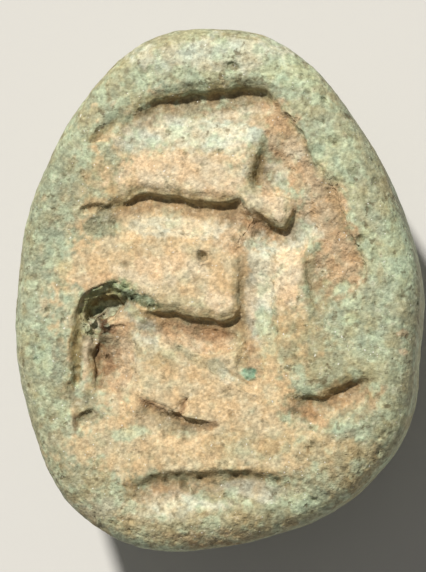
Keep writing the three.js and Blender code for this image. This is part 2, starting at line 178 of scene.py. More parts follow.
# Coloured areas of the face, laid over each other in this order: a finish, the area's middle
# and half sizes in pixels, how far it is turned in degrees, and how strongly it covers
Area = namedtuple("Area", "finish at reach turn cover")
AREAS = [Area(*row) for row in [
    ("tan", (183, 290), (120, 165), 0, 0.95), ("tan", (200, 440), (140, 36), 0, 0.8),
    ("olive", (250, 442), (60, 14), 4, 0.3), ("olive", (105, 180), (34, 24), 20, 0.4),
    ("bright_tan", (190, 172), (72, 24), 0, 0.75), ("pale_green", (205, 130), (62, 17), 0, 0.8),
    ("pale_green", (142, 132), (26, 18), 20, 0.6), ("pale", (158, 118), (18, 10), 25, 0.6),
    # The dull olive area at (104, 129) is painted shadow along the left foot of the brow.
    ("dull_olive", (104, 129), (20, 4), 48, 0.7), ("pale", (232, 144), (14, 14), 0, 0.5),
    ("brown", (248, 114), (46, 11), -8, 0.6), ("pale", (246, 110), (40, 5), -4, 0.4),
    ("brown", (290, 150), (19, 48), 24, 0.85), ("brown", (322, 208), (22, 50), 22, 0.9),
    ("brown", (338, 262), (24, 30), 8, 0.9), ("pale", (296, 152), (11, 13), 0, 0.5),
    ("pale", (298, 212), (8, 16), 0, 0.5), ("pale_green", (268, 176), (22, 10), 0, 0.7),
    # The dull olive area at (256, 163) is painted shade on the end wall of the upper bar.
    ("grey_green", (262, 182), (12, 7), 0, 0.85), ("dull_olive", (256, 163), (5, 24), -8, 0.7),
    ("bright_tan", (267, 207), (25, 18), -20, 0.95), ("brown", (243, 232), (32, 20), 0, 0.8),
    ("umber", (250, 222), (26, 6), -20, 0.5), ("pale", (190, 226), (36, 12), 0, 0.55),
    ("grey_green", (101, 220), (19, 13), 0, 0.95), ("pale_green", (152, 222), (22, 12), 0, 0.5),
    ("tan", (88, 262), (32, 20), 0, 0.9), ("bright_tan", (160, 268), (46, 16), 0, 0.6),
    ("bright_tan", (222, 296), (14, 14), 0, 0.8), ("olive", (160, 300), (38, 6), -8, 0.4),
    ("pinkish", (92, 278), (26, 9), 0, 0.5), ("pale_green", (257, 290), (15, 50), 0, 0.9),
    ("pale", (260, 298), (11, 40), 0, 0.85), ("mint", (264, 322), (9, 14), 0, 0.7),
    ("brown", (250, 365), (14, 22), 0, 0.6), ("bright_tan", (289, 272), (17, 32), 0, 0.95),
    ("pale", (284, 264), (12, 22), 0, 0.6), ("pale_green", (300, 236), (22, 12), 0, 0.6),
    ("grey_green", (332, 306), (24, 34), 0, 0.35), ("mint", (350, 316), (7, 6), 0, 0.9),
    ("mint", (338, 284), (8, 6), 0, 0.7), ("olive", (296, 348), (34, 30), 0, 0.45),
    ("tan", (200, 388), (92, 36), -8, 0.8), ("brown", (112, 354), (20, 36), 0, 0.85),
    ("umber", (104, 350), (9, 26), 0, 0.75), ("brown", (192, 337), (52, 12), -8, 0.85),
    ("umber", (196, 331), (26, 6), -8, 0.6), ("pale_green", (142, 345), (14, 12), 0, 0.55),
    ("grey_green", (205, 360), (34, 6), -24, 0.5), ("crust", (103, 292), (27, 12), 12, 1),
    ("crust", (84, 305), (9, 13), -20, 1), ("crust", (84, 318), (11, 15), 0, 0.9),
    # The soot areas here and on the next line are painted shade in the eye's deep core and in the groove
    # below it.
    ("copper_green", (138, 298), (18, 7), -18, 1), ("painted_eye_shade", (103, 304), (18, 8), 20, 1),
    ("painted_eye_shade", (99, 318), (6, 13), -6, 1), ("painted_eye_shade", (98, 327), (8, 5), 10, 0.9),
    ("mint", (84, 319), (7, 8), -30, 0.8), ("cream", (88, 318), (5, 5), 30, 0.7),
    ("pale_green", (138, 316), (19, 8), -33, 0.9), ("mint", (134, 312), (13, 5), -30, 0.8),
    # The dull olive area at (72, 354) is painted shade along the inner edge of the left rim, over dark
    # olive crust there.
    ("dull_olive", (72, 354), (5, 34), -4, 0.9), ("bark", (92, 340), (4, 16), -12, 1),
    # The umber areas at (160, 411) and (198, 420) are soil along the belly line and also its painted
    # shadow.
    ("bark", (93, 366), (3, 16), 4, 0.85), ("umber", (160, 411), (26, 6), -20, 0.75),
    ("umber", (198, 420), (22, 5), -12, 0.75), ("umber", (179, 403), (3, 10), -36, 0.8),
    ("bark", (85, 413), (9, 3), 30, 0.7), ("bark", (77, 424), (3, 8), 0, 0.6),
    ("olive", (150, 352), (30, 9), -25, 0.4), ("bright_tan", (84, 355), (6, 24), -6, 0.85),
    ("grey_green", (84, 402), (14, 14), 0, 0.6), ("pinkish", (336, 402), (38, 17), 12, 0.75),
    ("grey_green", (350, 420), (26, 16), 20, 0.7), ("mint", (338, 424), (8, 7), 0, 0.6),
    ("mint", (66, 418), (7, 8), 0, 0.8), ("mint", (128, 430), (15, 7), 0, 0.6),
    ("grey_green", (172, 424), (16, 7), -10, 0.6), ("pinkish", (172, 487), (34, 7), 6, 0.75),
    ("copper_green", (183, 485), (6, 4), 0, 0.6), ("pale_green", (262, 486), (44, 8), -4, 0.75),
    ("pale", (150, 504), (76, 11), 0, 0.6), ("grey_green", (292, 484), (30, 9), -6, 0.75),
    ("mint", (296, 496), (20, 6), -10, 0.5), ("grit", (225, 528), (120, 20), -4, 0.6),
    ("grit", (110, 500), (60, 22), -32, 0.5), ("umber", (235, 537), (70, 9), -5, 0.35),
    ("teal", (247, 367), (9, 6), 0, 1), ("pale", (226, 372), (10, 5), -30, 0.5),
    ("pale_green", (215, 55), (80, 18), 0, 0.75), ("mint", (335, 160), (20, 30), 30, 0.45),
    ("mint", (370, 250), (10, 26), 14, 0.5), ("mint", (398, 250), (14, 40), 10, 0.5),
    ("mint", (290, 75), (30, 16), -20, 0.6), ("grey_green", (48, 215), (20, 70), -14, 0.6),
    ("grey_green", (48, 380), (18, 60), 14, 0.6), ("grit", (344, 460), (50, 26), 10, 0.6),
    ("mint", (56, 250), (12, 22), 0, 0.4), ("mint", (40, 355), (9, 18), 0, 0.6),
    ("mint", (66, 300), (8, 14), 0, 0.4), ("grey_green", (378, 330), (20, 60), 6, 0.3),
    ("copper_green", (336, 140), (4, 7), 30, 0.5), ("copper_green", (352, 178), (6, 8), 30, 0.4),
    ("copper_green", (366, 205), (5, 7), 20, 0.4), ("copper_green", (376, 252), (5, 7), 0, 0.4),
    ("copper_green", (392, 196), (5, 6), 0, 0.35), ("bright_tan", (400, 352), (5, 4), 0, 0.7),
    ("pinkish", (398, 331), (5, 4), 0, 0.6), ("copper_green", (231, 68), (9, 6), 20, 0.5),
]]

# Finishes that are bare core rather than glaze, and how rough the broken ones are
BARE = ("tan", "bright_tan", "pinkish", "brown", "umber", "bark")
ROUGHNESS = {
    "brown": 4.4, "umber": 4.4, "copper_green": 4.5, "crust": 5.0, "painted_eye_shade": 2.2, "grey_green": 1.8,
    "grit": 3.2,
}

# How many hollows are scattered over the whole bead, and their sizes in millimetres
SCATTERED_HOLLOWS = 340
HOLLOW_RADIUS = (0.09, 0.22)
HOLLOW_DEPTH = (0.03, 0.1)
SCATTER_SEED = 11

# The lit tone of a surface that faces up, by which the colours below are taken back to pigments
FULL_LIGHT = 1.35


def pigment(red, green, blue):
    """A colour seen in full light, in 8-bit sRGB steps, as the linear pigment that gives it."""
    seen = [step / 255 for step in (red, green, blue)]
    linear = [s / 12.92 if s <= 0.04045 else ((s + 0.055) / 1.055) ** 2.4 for s in seen]
    return tuple(value / FULL_LIGHT for value in linear)


def length_property(name, description, millimetres):
    """A length that a user can set, shown in the scene's own unit."""
    return bpy.props.FloatProperty(
        name=name, description=description, default=millimetres * MM, min=0, precision=5,
        subtype="DISTANCE", unit="LENGTH",
    )


def angle_property(name, description, degrees):
    """An angle that a user can set."""
    return bpy.props.FloatProperty(
        name=name, description=description, default=math.radians(degrees), subtype="ANGLE",
    )


def strength_property(name, description, default):
    """A light's strength that a user can set."""
    return bpy.props.FloatProperty(name=name, description=description, default=default, min=0)


def colour_property(name, description, default):
    """A colour that a user can set."""
    return bpy.props.FloatVectorProperty(
        name=name, description=description, default=default, size=3, min=0, max=1, subtype="COLOR",
    )


class BeadSizes(bpy.types.PropertyGroup):
    """Sizes of the bead and of its worn surface"""

    width: length_property("Width", "Across the oval", (BEAD_HIGH.x - BEAD_LOW.x) / MM)
    length: length_property("Length", "Along the oval and the bore", (BEAD_HIGH.y - BEAD_LOW.y) / MM)
    thickness: length_property("Thickness", "From the back to the face", (BEAD_HIGH.z - BEAD_LOW.z) / MM)
    lip_width: length_property("Lip width", "Worn rounding round the face", 0.95)
    low_lip_width: length_property("Lip width at the low end", "Wider rounding at the broad end", 1.7)
    lip_drop: length_property("Lip drop", "How far the lip falls to the girth", 1.1)
    rest_flat_depth: length_property("Rest flat", "How much is rubbed off the back", 0.12)
    bore_diameter: length_property("Bore", "Diameter of the bore", 2)
    mouth_diameter: length_property("Bore mouth", "Diameter of the bore's worn mouths", 3)
    mouth_depth: length_property("Mouth depth", "How deep the worn mouths run in", 1)
    edge_wander: length_property("Edge wander", "How far cut edges stray from a true line", 0.08)
    shoulder: length_property("Worn shoulder", "Width of the wear above each cut", 0.55)
    swell: length_property("Swell", "Height of the soft unevenness", 0.1)
    grain: length_property("Grain", "Height of the coarse grain", 0.02)
    back_fullness: bpy.props.FloatProperty(
        name="Back fullness", description="Power of the back's oval section; 2 is an ellipse",
        default=2.8, min=1, max=6,
    )


class BeadColours(bpy.types.PropertyGroup):
    """Pigments of the worn faience"""

    glaze: colour_property("Glaze", "Grey-green weathered glaze", pigment(176, 179, 150))
    olive: colour_property("Olive", "Soiled glaze", pigment(168, 157, 116))
    tan: colour_property("Tan", "Bare core where the glaze is worn off", pigment(222, 199, 161))
    bright_tan: colour_property("Bright tan", "Rubbed core on the high parts", pigment(240, 217, 184))
    umber: colour_property("Umber", "Darkest soil on the bare core", pigment(158, 124, 92))
    bark: colour_property("Bark", "Dark brown soil in lines and grooves", pigment(128, 96, 62))
    # Soot is painted shade: the near black in the deep core of the eye and in the groove below it.
    painted_eye_shade: colour_property("Soot", "Nearly black crust in the deepest hollow", pigment(96, 68, 46))
    pinkish: colour_property("Pinkish", "Pinkish soil in the cuts", pigment(212, 180, 142))
    brown: colour_property("Brown", "Rough core where skin is lost", pigment(206, 178, 144))
    pale: colour_property("Pale", "Whitish crust", pigment(236, 230, 206))
    pale_green: colour_property("Pale green", "Thin glaze left on the floor", pigment(216, 218, 198))
    mint: colour_property("Mint", "Clean light glaze", pigment(198, 214, 180))
    grey_green: colour_property("Grey green", "Dull glaze in hollows", pigment(150, 153, 126))
    copper_green: colour_property("Copper green", "Dark pooled glaze", pigment(114, 120, 90))
    crust: colour_property("Crust", "Green crust on the walls of the eye", pigment(168, 180, 134))
    teal: colour_property("Teal", "Small spots of strong glaze", pigment(118, 166, 142))
    grit: colour_property("Grit", "Grainy soiled glaze on the low rim", pigment(178, 162, 124))
    # Dull olive is painted shade: the darkening on the worn shoulders above the cuts and on walls that
    # face away from the key light.
    dull_olive: colour_property("Dull olive", "Soiled wear above the cuts", pigment(150, 136, 92))
    soil: colour_property("Soil", "Brown soil at the foot of the cuts", pigment(150, 118, 82))
    # The dirt colour is also what the listed hollows and the inside of the bore are darkened towards.
    dirt: colour_property("Dirt", "Olive-brown dirt in pits and grain", pigment(104, 92, 60))
    cream: colour_property("Cream", "Pale sand grains", pigment(246, 242, 220))


class StageSettings(bpy.types.PropertyGroup):
    """Floor, lights and camera"""

    floor_colour: colour_property("Floor", "Plain pale floor", (0.56, 0.555, 0.54))
    key_colour: colour_property("Key colour", "Colour of the main light", (1.0, 0.965, 0.9))
    key_strength: strength_property("Key strength", "Strength of the main light", 4.6)
    key_azimuth: angle_property("Key azimuth", "Where the main light comes from, from +X", 110)
    key_elevation: angle_property("Key elevation", "Height of the main light", 54)
    key_spread: angle_property("Key spread", "Softness of the main light", 5)
    sky_colour: colour_property("Fill colour", "Colour of the even light", (1.0, 0.97, 0.93))
    sky_strength: strength_property("Fill strength", "Strength of the even light from all round", 0.2)
    camera_distance: length_property("Camera distance", "From the face to the camera", 200)
    lean_right: angle_property("Lean right", "How far the camera stands to the right", 9)
    lean_down: angle_property("Lean down", "How far it stands towards the broad end", 3.5)


def ease(share):
    """Rises from 0 at 0 to 1 at 1 with level ends."""
    s = np.clip(share, 0, 1)
    return s * s * (3 - 2 * s)


# How far one layer of noise lies from the next, so that no two are alike
LAYER_STEP = (17.3, 5.9, 11.7)


def wander(points, wavelength, layer):
    """Smooth noise from -1 to 1 at each point, alike over about one wavelength."""
    offset = Vector([layer * step for step in LAYER_STEP])
    return np.array([noise.noise(Vector(point) / wavelength + offset) for point in points])


def curve(before, here, after, last, f):
    """A smooth curve at the share f of the way from here to after."""
    slope, next_slope = (after - before) / 2, (last - here) / 2
    square = 3 * (after - here) - 2 * slope - next_slope
    cubic = 2 * (here - after) + slope + next_slope
    return here + f * (slope + f * (square + f * cubic))


def oval_share(angle):
    """The oval's radius share at each angle, by a smooth curve through its values."""
    values = np.array(OVAL)
    turned = (angle / TURN * len(values)) % len(values)
    start = np.floor(turned).astype(int)
    around = [values[(start + step) % len(values)] for step in (-1, 0, 1, 2)]
    return curve(*around, turned - start)


def oval_box():
    """The oval's middle and full span in its own shares."""
    angle = np.radians(np.arange(360))
    rim = oval_share(angle)[:, None] * np.column_stack([np.cos(angle), np.sin(angle)])
    return (rim.min(0) + rim.max(0)) / 2, rim.max(0) - rim.min(0)


OVAL_MIDDLE, OVAL_SPAN = oval_box()


def on_rim(shares, sizes):
    """Places on the oval's plane in millimetres, from shares of the half sizes."""
    full = np.array([sizes.width, sizes.length]) / MM
    return (np.asarray(shares, float) - OVAL_MIDDLE) / OVAL_SPAN * full


def placed(shares, sizes):
    """Places in the carved design in millimetres, from shares of the half sizes."""
    return on_rim(shares, sizes) + DESIGN_SHIFT


def placed_px(pixels, sizes):
    """Places in the carved design in millimetres, from pixels of the photograph."""
    away = np.asarray(pixels, float) - OUTLINE_MIDDLE_PX
    half = np.array([sizes.width, -sizes.length]) / MM / 2
    return placed(away / PX_PER_MM / half, sizes)


# How many steps a line has for each corner of its path
STEPS_PER_POINT = 4


def smooth_line(points):
    """A smooth line through the corners of a path."""
    ends = len(points) - 1
    steps = STEPS_PER_POINT * len(points)
    line = []
    for k in range(steps + 1):
        at = ends * k / steps
        i = min(int(at), ends - 1)
        around = [points[min(max(j, 0), ends)] for j in (i - 1, i, i + 1, i + 2)]
        line.append(curve(*around, at - i))
    return np.array(line)


# How a line's openness is averaged: over how many millimetres it is blurred, the power by which
# near steps count for more, and how steeply it may rise from an end
PATH_BLUR = 0.03
PATH_FAVOUR = 4
END_STEEPNESS = 3


def along_line(line, places, rise, fade):
    """For each place: the signed distance from a line, positive on its right, and how fully the
    line is open there, which rises from its start and fades to its end. The openness is a mean
    that favours near steps, so that it stays smooth on the inside of a bend, and it is nothing
    beyond the ends."""
    nearest = np.full(len(places), np.inf)
    nearest_open = np.zeros(len(places))
    side = np.ones(len(places))
    weights = np.zeros(len(places))
    weighted_open = np.zeros(len(places))
    whole = np.hypot(*np.diff(line, axis=0).T).sum()
    passed = 0.0
    for start, end in zip(line[:-1], line[1:]):
        step = end - start
        length = np.hypot(*step)
        share = np.clip((places - start) @ step / length ** 2, 0, 1)
        away = places - start - share[:, None] * step
        distance = np.hypot(away[:, 0], away[:, 1])
        weight = (distance ** 2 + PATH_BLUR ** 2) ** -PATH_FAVOUR
        along = passed + share * length
        is_open = ease((along - PATH_BLUR) / rise) * ease((whole - along - PATH_BLUR) / fade)
        weights += weight
        weighted_open += weight * is_open
        nearer = distance < nearest
        nearest_open = np.where(nearer, is_open, nearest_open)
        on_left = step[1] * away[:, 0] - step[0] * away[:, 1] < 0
        side = np.where(nearer, np.where(on_left, -1, 1), side)
        nearest = np.where(nearer, distance, nearest)
        passed += length
    return side * nearest, np.minimum(weighted_open / weights, END_STEEPNESS * nearest_open)


# A wall's width as a share of the plain solid's, how deep the wear above it goes as a share of
# the cut, and the depth of cut that gives that wear its full width
WALL_SHARE = 0.8
SHOULDER_SHARE = 0.38
SHOULDER_DEPTH = 0.7


def cut_depth(cut, places, sizes):
    """How deep one cut goes at each place, with its wall, floor, ramp and worn shoulder."""
    inside, ends = along_line(smooth_line(placed(cut.path, sizes)), places, cut.rise, cut.fade)
    down = ease(inside / (cut.wall * WALL_SHARE) + 0.5)
    up = 1 - ease((inside - cut.wall - cut.floor) / cut.ramp)
    shoulder_width = sizes.shoulder / MM * min(1, cut.depth / SHOULDER_DEPTH)
    shoulder = SHOULDER_SHARE * ease(inside / shoulder_width + 1) * (1 - down)
    return cut.depth * ends * (down * up + shoulder)


def groove_depth(groove, places, sizes):
    """How deep a fine groove goes at each place; it fades at both ends."""
    line = smooth_line(placed_px(groove.path, sizes))
    aside, ends = along_line(line, places, groove.width, groove.width)
    return groove.depth * ends * (1 - ease(np.abs(aside) / groove.width))


# Soil at the foot of a wall, which is also painted shade there, and painted shade on the worn
# shoulder above it: where each begins and over what width it rises, and where it ends and over
# what width it falls, in millimetres from the wall's line, but from the wall's foot for the soil's
# end; then the depth of cut that has them in full
FOOT_START, FOOT_RISE, FOOT_END, FOOT_FALL = -0.1, 0.25, 0.1, 0.5
SHADE_START, SHADE_RISE, SHADE_END, SHADE_FALL = -0.4, 0.3, 0.1, 0.2
SOILED_DEPTH = 0.5

# Each stray is a wavelength and a reach in millimetres, and a layer of noise
SOIL_STRAY = (0.5, 0.16, 61)


def band(inside, start, rise, end, fall):
    """How fully each distance lies between two others, with an easy rise and fall."""
    return ease((inside - start) / rise) * (1 - ease((inside - end) / fall))


def cut_soil_and_shade(cut, places, sizes):
    """How much soil and painted shade lie at the foot of a cut's wall, and how much painted shade
    lies on its worn shoulder, at each place, from 0 to 1."""
    inside, ends = along_line(smooth_line(placed(cut.path, sizes)), places, cut.rise / 2, cut.fade)
    ends = ends * min(1, cut.depth / SOILED_DEPTH)
    foot = band(inside, FOOT_START, FOOT_RISE, cut.wall + FOOT_END, FOOT_FALL)
    shoulder = band(inside, SHADE_START, SHADE_RISE, SHADE_END, SHADE_FALL)
    return foot * ends, shoulder * ends


def soil(places, sizes):
    """The soil and painted shade at the foot of all cuts, and the painted shade on their shoulders, at
    each place.
    """
    moved = strayed(places, *SOIL_STRAY)
    return np.max([cut_soil_and_shade(cut, moved, sizes) for cut in CUTS], axis=0)


def hollow_depth(hollow, places, sizes):
    """How deep a round hollow goes at each place."""
    middle = placed_px(hollow.at, sizes)
    reach = np.hypot(*(places - middle).T)
    return hollow.depth * (1 - ease(reach / hollow.radius))


def strayed(places, wavelength, reach, layer):
    """Places moved aside by smooth noise, which makes ruled edges irregular."""
    flat = np.column_stack([places, np.zeros(len(places))])
    sideways = [reach * wander(flat, wavelength, layer + axis) for axis in (0, 1)]
    return places + np.column_stack(sideways)


# How far, in millimetres of depth, the crease where two cuts meet is worn round, and a depth
# too small to see
CREASE_WEAR = 0.2
LEAST = 1e-6

# The noises that cut edges stray by: a wavelength in millimetres, a share of the edge wander,
# and the layer of noise
EDGE_STRAYS = [(0.8, 1.6, 1), (0.4, 1, 3)]


def deeper(first, second):
    """The deeper of two depths, with the crease between them worn round."""
    width = np.minimum(CREASE_WEAR, np.minimum(first, second)) + LEAST
    near = np.clip(1 - np.abs(first - second) / width, 0, 1)
    return np.maximum(first, second) + width * near ** 2 / 4


def carving(places, sizes):
    """How deep all cuts, grooves and hollows go at each place on the face."""
    moved = places
    for wavelength, share, layer in EDGE_STRAYS:
        moved = strayed(moved, wavelength, share * (sizes.edge_wander / MM), layer)
    depth = np.zeros(len(places))
    for cut in CUTS + STEPS_IN_RELIEF:
        depth = deeper(depth, cut_depth(cut, moved, sizes))
    extra = np.zeros(len(places))
    for groove in GROOVES:
        extra = np.maximum(extra, groove_depth(groove, moved, sizes))
    for hollow in HOLLOWS:
        extra = np.maximum(extra, hollow_depth(hollow, moved, sizes))
    for lump in LUMPS:
        extra -= hollow_depth(lump, moved, sizes)
    return np.maximum(depth + extra, 0)


def smooth_surface(directions, sizes):
    """The surface point for each direction from the middle: the carved face round +Z, then
    the lip, then the domed back round -Z. Millimetres."""
    thickness, lip_drop = sizes.thickness / MM, sizes.lip_drop / MM
    girth = thickness - lip_drop
    angle = np.arctan2(directions[:, 1], directions[:, 0])
    share = oval_share(angle)
    rim = on_rim(np.column_stack([share * np.cos(angle), share * np.sin(angle)]), sizes)
    low = np.maximum(0, -np.sin(angle))
    lip_width = (sizes.lip_width + (sizes.low_lip_width - sizes.lip_width) * low ** 2) / MM
    face_reach = 1 - lip_width / np.hypot(rim[:, 0], rim[:, 1])
    down = (1 - directions[:, 2]) / 2
    on_face = down <= FACE_SHARE
    on_back = down > FACE_SHARE + LIP_SHARE
    lip_turn = np.clip((down - FACE_SHARE) / LIP_SHARE, 0, 1) * QUARTER
    back_turn = np.clip((down - FACE_SHARE - LIP_SHARE) / (1 - FACE_SHARE - LIP_SHARE), 0, 1) * QUARTER
    power = 2 / sizes.back_fullness
    out_face = face_reach * np.sqrt(np.clip(down / FACE_SHARE, 0, 1))
    out_lip = face_reach + (1 - face_reach) * np.sin(lip_turn)
    out_back = np.cos(back_turn) ** power
    out = np.where(on_face, out_face, np.where(on_back, out_back, out_lip))
    places = rim * out[:, None]
    height = np.where(on_back, 0, thickness - lip_drop * (1 - np.cos(lip_turn)))
    above = ~on_back
    height[above] -= carving(places[above], sizes) * np.cos(lip_turn[above])
    drop = (girth + sizes.rest_flat_depth / MM) * np.sin(back_turn) ** power
    height[on_back] = (girth - drop)[on_back]
    return np.column_stack([places, height])


def coordinates(verts):
    """The places of mesh corners as an array."""
    return np.array([vert.co[:] for vert in verts])


def directions_of(verts):
    """The directions of mesh corners from the middle."""
    places = coordinates(verts)
    return places / np.linalg.norm(places, axis=1)[:, None]


def move_to(verts, places):
    """Moves mesh corners to the rows of an array."""
    for vert, place in zip(verts, places.tolist()):
        vert.co = place


# The longest edge kept on the face and lip, and on the back, in millimetres
FACE_EDGE = 0.125
BACK_EDGE = 0.3
REFINING_ROUNDS = 2
BALL_LEVEL = 7


def blank_ball(sizes):
    """A unit ball whose faces are finer where the bead's surface is steep."""
    bm = bmesh.new()
    level = BALL_LEVEL
    bmesh.ops.create_icosphere(bm, subdivisions=level, radius=1)
    for _ in range(REFINING_ROUNDS):
        bm.verts.index_update()
        directions = directions_of(bm.verts)
        points = smooth_surface(directions, sizes)
        ends = np.array([[vert.index for vert in edge.verts] for edge in bm.edges])
        lengths = np.linalg.norm(points[ends[:, 0]] - points[ends[:, 1]], axis=1)
        down = (1 - directions[ends[:, 0], 2]) / 2
        longest = np.where(down < FACE_SHARE + LIP_SHARE, FACE_EDGE, BACK_EDGE)
        long_edges = [edge for edge, is_long in zip(bm.edges, lengths > longest) if is_long]
        bmesh.ops.subdivide_edges(bm, edges=long_edges, cuts=1, use_grid_fill=True)
        bmesh.ops.triangulate(bm, faces=bm.faces)
    move_to(bm.verts, smooth_surface(directions_of(bm.verts), sizes))
    return bm


def girth_height(sizes):
    """How high above its back the bead is widest, in millimetres."""
    return (sizes.thickness - sizes.lip_drop) / MM


def back_reach(height, sizes):
    """How much of the rim's reach the back still has at a height in millimetres."""
    girth = girth_height(sizes)
    drop = max(0, girth - height) / (girth + sizes.rest_flat_depth / MM)
    power = sizes.back_fullness
    return (1 - drop ** power) ** (1 / power)


def set_ring(verts, height, radius, along=0, share=0):
    """Puts the corners of a ring on a circle round the bore, and takes them a share of the way to
    a place along it."""
    for vert in verts:
        away = Vector((vert.co.x, 0, vert.co.z - height)).normalized() * radius
        vert.co = (away.x, vert.co.y + share * (along - vert.co.y), height + away.z)


# The rings of the bore's mouths and of its tube, and the power by which the mouths flare
MOUTH_RINGS = 4
BORE_RINGS = 24
MOUTH_FLARE = 1.6


def drill_bore(bm, sizes):
    """Opens a mouth at each end, runs it inwards in rings, and joins the two by a tube."""
    height = sizes.thickness / MM / 2
    leaves = back_reach(height, sizes) * sizes.length / MM / 2
    mouth, bore = sizes.mouth_diameter / MM / 2, sizes.bore_diameter / MM / 2
    inner_edges = []
    for side in (1, -1):
        cut_out = [v for v in bm.verts
                   if v.co.y * side > leaves / 2 and math.hypot(v.co.x, v.co.z - height) < mouth]
        bmesh.ops.delete(bm, geom=cut_out, context="VERTS")
        edges = [e for e in bm.edges if e.is_boundary and e.verts[0].co.y * side > 0]
        rim = {v for e in edges for v in e.verts}
        set_ring(rim, height, mouth)
        foot = min(abs(v.co.y) for v in rim) - sizes.mouth_depth / MM
        for ring in range(1, MOUTH_RINGS + 1):
            made = bmesh.ops.extrude_edge_only(bm, edges=edges)["geom"]
            edges = [g for g in made if isinstance(g, bmesh.types.BMEdge) and g.is_boundary]
            radius = bore + (mouth - bore) * (1 - ring / MOUTH_RINGS) ** MOUTH_FLARE
            set_ring({v for e in edges for v in e.verts}, height, radius,
                     side * foot, 1 / (MOUTH_RINGS - ring + 1))
        inner_edges += edges
    tube = bmesh.ops.bridge_loops(bm, edges=inner_edges)
    lengthwise = [e for e in tube["edges"] if abs(e.verts[0].co.y - e.verts[1].co.y) > bore]
    bmesh.ops.subdivide_edges(bm, edges=lengthwise, cuts=BORE_RINGS, use_grid_fill=True)


# How far the scattered hollows are from round, as shares of their radius, the wavelength and
# layer of that noise, and how much shallower they are on the worn middle
HOLLOW_RAGGEDNESS = 0.9
HOLLOW_RAGGED_NOISE = (0.2, 39)
SHALLOWER_ON_MIDDLE = 0.75


def scattered_hollows(points, face_weight):
    """Depth at each point of small hollows scattered by chance, least on the worn middle."""
    chance = np.random.default_rng(SCATTER_SEED)
    depth = np.zeros(len(points))
    ragged = HOLLOW_RAGGEDNESS * wander(points, *HOLLOW_RAGGED_NOISE)
    for _ in range(SCATTERED_HOLLOWS):
        middle = points[chance.integers(len(points))]
        radius = chance.uniform(*HOLLOW_RADIUS)
        deep = chance.uniform(*HOLLOW_DEPTH)
        reach = np.linalg.norm(points - middle, axis=1) / radius + ragged
        depth = np.maximum(depth, deep * (1 - ease(reach)))
    return depth * (1 - SHALLOWER_ON_MIDDLE * face_weight)


# Where an area's cover ends and the width over which it fades, as shares of its half sizes, the
# height over which all areas fade at the lip, and the noises that make them ragged
COVER_END = 1.2
COVER_FADE = 0.4
LIP_FADE = 0.4
AREA_STRAY = (1.3, 0.3, 21)
RAGGED_EDGE = 0.42
RAGGED_WAVELENGTH = 0.42
RAGGED_LAYERS = (24, 25, 26)
GRIT_EDGE = 0.3
GRIT_NOISE = (0.16, 27)


def area_cover(area, places, ragged, sizes):
    """How strongly a coloured area covers each place, with a ragged edge."""
    away = (places - placed_px(area.at, sizes)) * PX_PER_MM
    turn = math.radians(area.turn)
    along = away[:, 0] * math.cos(turn) + away[:, 1] * math.sin(turn)
    aside = away[:, 1] * math.cos(turn) - away[:, 0] * math.sin(turn)
    reach = np.hypot(along / area.reach[0], aside / area.reach[1]) + ragged
    return area.cover * ease((COVER_END - reach) / COVER_FADE)


def face_covers(points, sizes, raggedness=1):
    """Each area's cover at each point, none of it below the girth."""
    on_top = ease((points[:, 2] - girth_height(sizes)) / LIP_FADE + 0.5)
    places = strayed(points[:, :2], *AREA_STRAY)
    grit = GRIT_EDGE * wander(points, *GRIT_NOISE)
    broken = [raggedness * (RAGGED_EDGE * wander(points, RAGGED_WAVELENGTH, layer) + grit)
              for layer in RAGGED_LAYERS]
    return [area_cover(area, places, broken[k % len(broken)], sizes) * on_top
            for k, area in enumerate(AREAS)]


def worn_middle(points, sizes):
    """How much of the glaze is worn off at each point: all over the carved middle of the face,
    which the first two areas cover."""
    covers = face_covers(points, sizes)
    return np.maximum(covers[0], covers[1])


# The noises of the worn surface: a wavelength in millimetres, a share of the swell or the grain,
# and the layer of noise
SWELLS = [(2.2, 1, 31), (0.8, 0.5, 33)]
GRAINS = [(0.3, 1, 35), (0.16, 0.6, 37)]

# How much of the grain is rubbed off the worn middle, and how ragged a change of roughness is:
# little, because it would leave cracks
RUBBED_SHARE = 0.45
SOFT_EDGE = 0.15


def weather(bm, sizes):
    """Presses the unevenness, grain and hollows of a worn surface into the bead. The face and
    back are moved inwards and the sides keep their mean reach, all within the bead's box."""
    bm.normal_update()
    points = coordinates(bm.verts)
    normals = np.array([vert.normal[:] for vert in bm.verts])
    middle = worn_middle(points, sizes)
    rough = 1 - RUBBED_SHARE * middle
    for area, cover in zip(AREAS, face_covers(points, sizes, SOFT_EDGE)):
        rough = np.maximum(rough, ROUGHNESS.get(area.finish, 0) * cover)
    press = scattered_hollows(points, middle)
    for wavelength, share, layer in SWELLS:
        press += share * sizes.swell / MM * (0.5 + 0.5 * wander(points, wavelength, layer))
    for wavelength, share, layer in GRAINS:
        press += share * sizes.grain / MM * rough * (1 + wander(points, wavelength, layer))
    press -= press.mean() * (1 - np.abs(normals[:, 2]))
    points -= normals * press[:, None]
    low, high = np.array(BEAD_LOW) / MM, np.array(BEAD_HIGH) / MM
    move_to(bm.verts, np.clip(points, low, high))


# How the darkening in the pits strays and how far past their radius it spreads, and over how
# many millimetres the darkening fades in at the bore's mouths
PIT_STRAY = (0.3, 0.05, 41)
PIT_SPREAD = 1.1
BORE_FADE = 0.4


def seen_pits(points, sizes):
    """How deep in one of the listed hollows each point lies, from 0 to 1; it is painted darker there."""
    pit_darkening = np.zeros(len(points))
    places = strayed(points[:, :2], *PIT_STRAY)
    for hollow in HOLLOWS:
        reach = np.hypot(*(places - placed_px(hollow.at, sizes)).T)
        pit_darkening = np.maximum(pit_darkening, 1 - ease(reach / (PIT_SPREAD * hollow.radius)))
    return pit_darkening * (points[:, 2] > girth_height(sizes))


